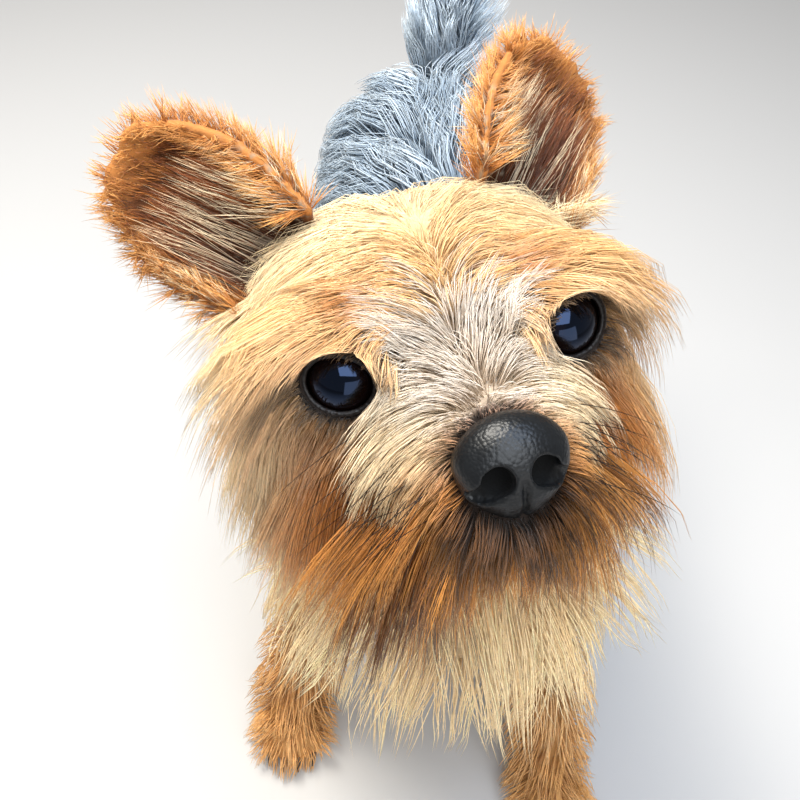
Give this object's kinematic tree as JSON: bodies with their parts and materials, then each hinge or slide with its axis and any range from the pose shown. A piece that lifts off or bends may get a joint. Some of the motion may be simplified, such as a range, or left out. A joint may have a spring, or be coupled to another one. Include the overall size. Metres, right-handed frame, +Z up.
{
  "type": "yorkshire terrier model",
  "caption": "Life-size still model of a small long-coated terrier standing on four paws, head lifted and turned a little, ears erect, beard and body coat in locks.",
  "frame": {"origin": "on the ground under the middle of the bounding box", "axes": "+Z up, the dog faces -Y, its left side is +X"},
  "size_m": [0.1572, 0.2464, 0.257],
  "materials": {
    "coat_tan": "silky long hair, tan to rust",
    "coat_cream": "silky long hair, cream gold",
    "coat_steel_blue": "wavy hair, steel blue and silver",
    "ear_tan": "short hair with a longer fringe, rust tan",
    "nose_leather": "pebbled, moist black",
    "eye_dark": "dark brown, wet gloss"
  },
  "bodies": {
    "root": {"head": "coat_tan", "nose": "nose_leather", "eye_left": "eye_dark", "eye_right": "eye_dark", "ear_left": "ear_tan", "ear_right": "ear_tan", "neck": "coat_cream", "torso": "coat_steel_blue", "tail": "coat_steel_blue", "leg_front_left": "coat_tan", "leg_front_right": "coat_tan", "leg_hind_left": "coat_tan", "leg_hind_right": "coat_tan"}
  },
  "joints": []
}
